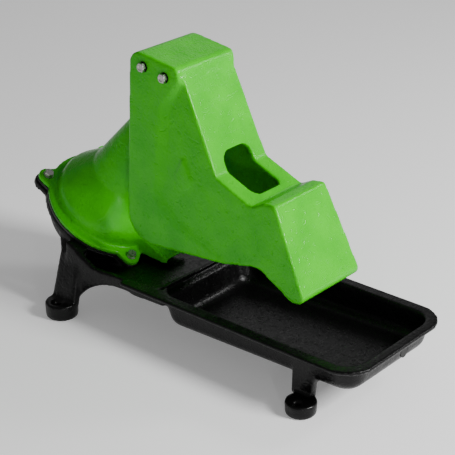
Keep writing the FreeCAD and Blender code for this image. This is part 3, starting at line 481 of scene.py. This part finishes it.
# ---- fasteners ----
@dataclass(frozen=True)
class HexScrew:
    """One size of hexagon screw: chamfered head and nut, built about +Z from the face that seats."""

    across_flats_mm: float = 13.0
    head_mm: float = 5.5
    nut_mm: float = 6.5
    shank_mm: float = 4.0
    end_mm: float = 3.0
    chamfer_mm: float = 0.8
    dimple_mm: float = 0.8
    dish_rim_share: float = 0.62
    dish_floor_share: float = 0.5

    def bolt(self, grip: float) -> bpy.types.Mesh:
        """Makes a screw whose head has a chamfered edge and a dished top.

        Args:
            grip: length of shank under the head, in metres.

        Returns:
            A closed mesh, head up.
        """
        corner = self.across_flats_mm / math.sqrt(3) * MM
        flat = self.across_flats_mm / 2 * MM
        top = self.head_mm * MM
        shank = self.shank_mm * MM
        cut = self.chamfer_mm * MM
        return self.stack("hex_screw", (
            (shank, -grip, False), (shank, 0.0, False), (corner, 0.0, True), (corner, top - cut, True),
            (flat - cut / 2, top, False), (flat * self.dish_rim_share, top, False),
            (flat * self.dish_floor_share, top - self.dimple_mm * MM, False)))

    def nut(self) -> bpy.types.Mesh:
        """Makes a nut with the screw's end showing through it.

        Returns:
            A closed mesh, end up.
        """
        corner = self.across_flats_mm / math.sqrt(3) * MM
        flat = self.across_flats_mm / 2 * MM
        top = self.nut_mm * MM
        shank = self.shank_mm * MM
        cut = self.chamfer_mm * MM
        tip = top + self.end_mm * MM
        return self.stack("hex_nut", (
            (flat, 0.0, False), (corner, cut, True), (corner, top - cut, True), (flat - cut / 2, top, False),
            (shank + cut, top, False), (shank, top - cut, False), (shank, tip - cut, False),
            (shank - cut, tip, False)))

    @staticmethod
    def stack(name: str, levels: tuple[tuple[float, float, bool], ...]) -> bpy.types.Mesh:
        """Skins rings of points at their levels, in order, and closes both ends.

        Args:
            name: the mesh's name.
            levels: (radius, height, hexagonal) for each ring.

        Returns:
            The closed mesh.
        """
        shape = bmesh.new()
        rings = []
        for radius, height, hexagonal in levels:
            ring = []
            for step in range(RING_POINTS):
                turn = 2 * math.pi * step / RING_POINTS
                reach = radius
                if hexagonal:
                    reach = radius * math.cos(math.pi / 6) / math.cos(turn % (math.pi / 3) - math.pi / 6)
                ring.append(shape.verts.new((reach * math.cos(turn), reach * math.sin(turn), height)))
            rings.append(ring)
        for low, high in zip(rings, rings[1:]):
            for step in range(RING_POINTS):
                after = (step + 1) % RING_POINTS
                shape.faces.new((low[step], low[after], high[after], high[step]))
        shape.faces.new(rings[-1])
        shape.faces.new(list(reversed(rings[0])))
        bmesh.ops.recalc_face_normals(shape, faces=shape.faces)
        data = bpy.data.meshes.new(name)
        shape.to_mesh(data)
        shape.free()
        return data


def instance_tree(name: str) -> bpy.types.NodeTree:
    """Builds the node group that puts one turned piece on every point of a mesh.

    Args:
        name: the group's name.

    Returns:
        The group, with inputs for the points, the piece, its turn and its material.
    """
    tree = bpy.data.node_groups.new(name, "GeometryNodeTree")
    face = tree.interface
    for label, kind in (("Points", "NodeSocketGeometry"), ("Piece", "NodeSocketObject"),
                        ("Turn", "NodeSocketVector"), ("Finish", "NodeSocketMaterial")):
        face.new_socket(label, in_out="INPUT", socket_type=kind)
    face.new_socket("Geometry", in_out="OUTPUT", socket_type="NodeSocketGeometry")
    source = add_node(tree, "NodeGroupInput", {}, {})
    points = add_node(tree, "GeometryNodeMeshToPoints", {}, {"Mesh": source.outputs["Points"]})
    info = add_node(tree, "GeometryNodeObjectInfo", {}, {"Object": source.outputs["Piece"]})
    placed = add_node(tree, "GeometryNodeInstanceOnPoints", {},
                      {"Points": points.outputs["Points"], "Instance": info.outputs["Geometry"],
                       "Rotation": source.outputs["Turn"]})
    real = add_node(tree, "GeometryNodeRealizeInstances", {}, {"Geometry": placed.outputs["Instances"]})
    dressed = add_node(tree, "GeometryNodeSetMaterial", {},
                       {"Geometry": real.outputs["Geometry"], "Material": source.outputs["Finish"]})
    add_node(tree, "NodeGroupOutput", {}, {"Geometry": dressed.outputs["Geometry"]})
    return tree


@dataclass
class ScrewSet:
    """Identical screws or nuts that share one direction on one body, in place of their CAD nodes."""

    name: str
    body: str
    nodes: tuple[str, ...]
    spots: tuple[Vector, ...]
    turn: tuple[float, float, float]
    slot: Slot

    def build(self, finishes: Finishes, blank: bpy.types.Mesh, tree: bpy.types.NodeTree) -> bpy.types.Object:
        """Places the pieces and dresses them.

        Args:
            finishes: the finish store.
            blank: the piece to repeat, built about +Z.
            tree: the group that repeats it.

        Returns:
            The finished piece, one mesh.
        """
        model = bpy.data.objects.new(self.name + "_blank", blank)
        data = bpy.data.meshes.new(self.name)
        data.from_pydata([tuple(spot) for spot in self.spots], [], [])
        piece = bpy.data.objects.new(self.name, data)
        bpy.context.scene.collection.objects.link(piece)
        maker = piece.modifiers.new("repeat", "NODES")
        maker.node_group = tree
        values = {"Piece": model, "Turn": self.turn, "Finish": finishes.by_slot[self.slot]}
        for item in tree.interface.items_tree:
            if item.item_type == "SOCKET" and item.in_out == "INPUT" and item.name in values:
                maker[item.identifier] = values[item.name]
        settle(piece, smooth=False)
        bpy.data.objects.remove(model)
        finishes.lay_on(piece, self.slot)
        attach(piece, self.body)
        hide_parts(*self.nodes)
        LOG.info("%s: %d faces", self.name, len(piece.data.polygons))
        return piece


@dataclass(frozen=True)
class LeverFasteners:
    """The two cross screws of the lever and their nuts."""

    screw: HexScrew = HexScrew()
    body: str = "push_lever"
    bolts: tuple[str, str] = ("pivot_bolt", "rod_pin_bolt")
    nuts: tuple[str, str] = ("pivot_nut", "rod_pin_nut")
    washers: tuple[str, str] = ("pivot_washers", "rod_pin_washers")

    def spots(self, end: int) -> tuple[Vector, ...]:
        """Finds the seat points of the screws.

        Args:
            end: 0 for the -Y side, 1 for the +Y side.

        Returns:
            One point for each screw, on its washer's outer face.
        """
        points = []
        for bolt, washer in zip(self.bolts, self.washers):
            low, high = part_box(bolt)
            middle = (low + high) / 2
            points.append(Vector((middle.x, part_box(washer)[end].y, middle.z)))
        return tuple(points)

    def build(self, finishes: Finishes) -> None:
        """Makes both sets.

        Args:
            finishes: the finish store.
        """
        tree = instance_tree("repeat_on_points")
        near, far = self.spots(0), self.spots(1)
        quarter = math.pi / 2
        grip = far[0].y - near[0].y
        heads = ScrewSet("lever_cross_screws", self.body, self.bolts, near, (quarter, 0.0, 0.0), Slot.ZINC)
        heads.build(finishes, self.screw.bolt(grip), tree)
        ends = ScrewSet("lever_cross_nuts", self.body, self.nuts, far, (-quarter, 0.0, 0.0), Slot.ZINC)
        ends.build(finishes, self.screw.nut(), tree)


# ---- pieces that keep their CAD shape ----
@dataclass(frozen=True)
class KeptPieces:
    """The pieces that keep their CAD shape and only get a finish: zinc plate where no other is named; the
    washers in dark get near-black zinc as painted shade.
    """

    remade: frozenset[str]
    dark: tuple[str, ...]
    brass: tuple[str, ...] = ("plunger_hub", "inlet_valve_seat", "inlet_valve_guard")
    rubber: tuple[str, ...] = ("delivery_valve", "inlet_valve_disc", "drain_plug")

    def dress(self, finishes: Finishes) -> None:
        """Gives each kept piece its finish.

        Args:
            finishes: the finish store.
        """
        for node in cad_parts:
            if node in self.remade:
                continue
            material = finishes.by_slot[Slot.ZINC]
            # The washers in dark get near-black zinc as painted shade for the shadow ring round the screw
            # heads.
            if node in self.dark:
                material = finishes.shaded_washer_paint
            elif node in self.brass:
                material = finishes.by_slot[Slot.BRASS]
            elif node in self.rubber:
                material = finishes.by_slot[Slot.RUBBER]
            finishes.repaint(node, material)
            LOG.info("%s: %s", node, material.name)


# ---- studio ----
@dataclass(frozen=True)
class Panel:
    """One soft rectangular lamp that faces a point."""

    name: str
    spot: tuple[float, float, float]
    aim: tuple[float, float, float]
    width: float
    height: float
    watts: float

    def hang(self) -> None:
        """Makes the lamp and turns it to its point."""
        data = bpy.data.lights.new(self.name, "AREA")
        data.shape = "RECTANGLE"
        data.size = self.width
        data.size_y = self.height
        data.energy = self.watts
        lamp = bpy.data.objects.new(self.name, data)
        lamp.location = self.spot
        lamp.rotation_euler = (Vector(self.aim) - Vector(self.spot)).to_track_quat("-Z", "Y").to_euler()
        bpy.context.scene.collection.objects.link(lamp)


@dataclass(frozen=True)
class Studio:
    """Pale floor, soft light and the camera."""

    place: tuple[float, float, float] = (1.2807, -1.4723, 1.0870)
    azimuth: float = 40.748
    elevation: float = 25.141
    roll: float = -0.18
    lens_mm: float = 112.84
    sensor_mm: float = 36.0
    floor_half: float = 6.0
    floor_colour: str = "F4F4F4"
    floor_roughness: float = 0.9
    floor_glow: float = 0.2
    room_light: float = 0.21
    panels: tuple[Panel, ...] = (
        Panel("front_key", (2.35, 0.45, 1.7), (0.0, 0.0, 0.15), width=0.8, height=0.8, watts=110.0),
        Panel("back_sheen", (1.1, 1.75, 1.5), (0.0, 0.0, 0.1), width=0.5, height=0.5, watts=14.0),
        Panel("far_sheen", (-1.75, 2.05, 1.35), (0.1, 0.0, 0.1), width=1.4, height=0.9, watts=2.2),
        Panel("glint", (1.95, -1.58, 0.45), (-0.05, 0.0, 0.2), width=0.15, height=0.15, watts=7.0),
    )

    def floor(self) -> None:
        """Lays a plain pale floor under the feet."""
        shape = bmesh.new()
        half = self.floor_half
        corners = ((-half, -half, 0.0), (half, -half, 0.0), (half, half, 0.0), (-half, half, 0.0))
        shape.faces.new([shape.verts.new(corner) for corner in corners])
        data = bpy.data.meshes.new("floor")
        shape.to_mesh(data)
        shape.free()
        piece = bpy.data.objects.new("floor", data)
        bpy.context.scene.collection.objects.link(piece)
        material = bpy.data.materials.new("pale_floor")
        material.use_nodes = True
        shader = material.node_tree.nodes["Principled BSDF"]
        shader.inputs["Base Color"].default_value = linear(self.floor_colour)
        shader.inputs["Roughness"].default_value = self.floor_roughness
        shader.inputs["Emission Color"].default_value = linear("FFFFFF")
        shader.inputs["Emission Strength"].default_value = self.floor_glow
        data.materials.append(material)

    def world(self) -> None:
        """Gives the room an even pale light."""
        world = bpy.data.worlds.new("room")
        world.use_nodes = True
        back = world.node_tree.nodes["Background"]
        back.inputs["Color"].default_value = (1.0, 1.0, 1.0, 1.0)
        back.inputs["Strength"].default_value = self.room_light
        bpy.context.scene.world = world

    def camera(self) -> None:
        """Places the camera."""
        turn = math.radians(self.azimuth)
        rise = math.radians(self.elevation)
        roll = math.radians(self.roll)
        right = Vector((math.cos(turn), math.sin(turn), 0.0))
        over = Vector((-math.sin(turn) * math.sin(rise), math.cos(turn) * math.sin(rise), math.cos(rise)))
        back = Vector((math.sin(turn) * math.cos(rise), -math.cos(turn) * math.cos(rise), math.sin(rise)))
        across = right * math.cos(roll) + over * math.sin(roll)
        upward = over * math.cos(roll) - right * math.sin(roll)
        pose = Matrix((across, upward, back)).transposed().to_4x4()
        pose.translation = Vector(self.place)
        data = bpy.data.cameras.new("camera")
        data.sensor_width = self.sensor_mm
        data.lens = self.lens_mm
        camera = bpy.data.objects.new("camera", data)
        camera.matrix_world = pose
        bpy.context.scene.collection.objects.link(camera)
        bpy.context.scene.camera = camera

    def build(self) -> None:
        """Sets up the whole studio."""
        self.floor()
        self.world()
        for panel in self.panels:
            panel.hang()
        self.camera()


def main() -> None:
    """Builds every piece in order, then the studio."""
    logging.basicConfig(level=logging.INFO)
    finishes = Finishes()
    castings = (
        Casting("trough_casting", "trough", "casting", Slot.BLACK, voxel_mm=2.8, rounding=4),
        Casting("pump_cover", "cover", "casting", Slot.GREEN, voxel_mm=2.0, rounding=4),
        Casting("lever", "push_lever_body", "push_lever", Slot.GREEN, voxel_mm=2.2, rounding=7),
    )
    for casting in castings:
        casting.build(finishes)
    fasteners = LeverFasteners()
    fasteners.build(finishes)
    soft_works = SoftWorks()
    soft_works.build(finishes)
    remade = {casting.node for casting in castings}
    remade.update(fasteners.bolts, fasteners.nuts, soft_works.nodes)
    KeptPieces(frozenset(remade), fasteners.washers).dress(finishes)
    Studio().build()


if __name__ == "__main__":
    main()
